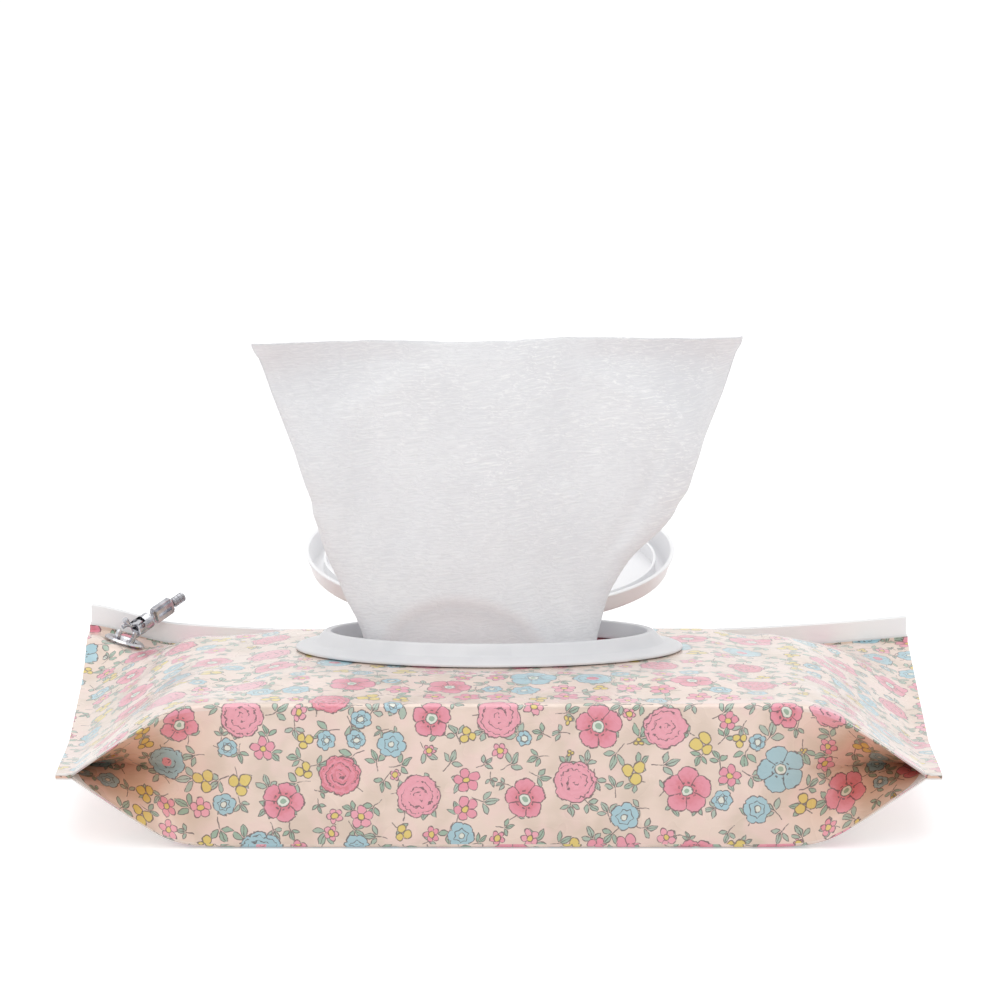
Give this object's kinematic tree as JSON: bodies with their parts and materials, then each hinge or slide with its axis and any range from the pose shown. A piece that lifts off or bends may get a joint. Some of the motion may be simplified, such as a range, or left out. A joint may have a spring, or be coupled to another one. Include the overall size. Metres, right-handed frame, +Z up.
{
  "type": "wet wipes pouch",
  "caption": "Reusable film pouch of wet wipes with a folded gusset front, an oval flip-lid ring, one wipe drawn up, a press zip at the rear and a small snap hook in an eyelet.",
  "frame": {"origin": "centre of the flat base that the pouch lies on", "axes": "+X along the pouch's width, +Y towards the press zip at the rear, +Z up"},
  "size_m": [0.24, 0.1583, 0.1314],
  "materials": {
    "printed_film": "semi-gloss",
    "zip_plastic": "satin",
    "lid_plastic": "satin",
    "wipe_cloth": "matte",
    "chrome": "polished",
    "steel": "brushed"
  },
  "bodies": {
    "pouch": {"pouch_film": "printed_film", "zip_track_front": "zip_plastic", "zip_track_rear": "zip_plastic", "lid_base": "lid_plastic", "wipes_stack": "wipe_cloth", "pulled_wipe": "wipe_cloth", "eyelet": "chrome", "eyelet_washer": "chrome"},
    "lid": {"lid": "lid_plastic"},
    "hook": {"hook_body": "chrome", "trigger_pin": "steel", "trigger_spring": "steel"},
    "trigger": {"hook_trigger": "chrome"},
    "strap": {"strap_loop": "chrome", "loop_ferrule": "steel"}
  },
  "joints": [
    {"name": "lid_hinge", "type": "hinge", "parent": "pouch", "child": "lid", "pos_m": [-0.0027, 0.0496, 0.0447], "axis": [-1, 0, 0], "range_deg": [-153, 12], "deforming": ["pulled_wipe"]},
    {"name": "hook_swing", "type": "hinge", "parent": "pouch", "child": "hook", "pos_m": [-0.10878, 0.07562, 0.03464], "axis": [0.6739, -0.7199, -0.1662], "range_deg": [0, 60]},
    {"name": "trigger_pivot", "type": "hinge", "parent": "hook", "child": "trigger", "pos_m": [-0.10531, 0.07815, 0.03776], "axis": [0.6739, -0.7199, -0.1662], "range_deg": [0, 25], "stiffness_Nm_per_rad": 0.001},
    {"name": "strap_swivel", "type": "hinge", "parent": "hook", "child": "strap", "pos_m": [-0.10224, 0.08087, 0.03842], "axis": [0.711, 0.5708, 0.4106], "continuous": true}
  ]
}
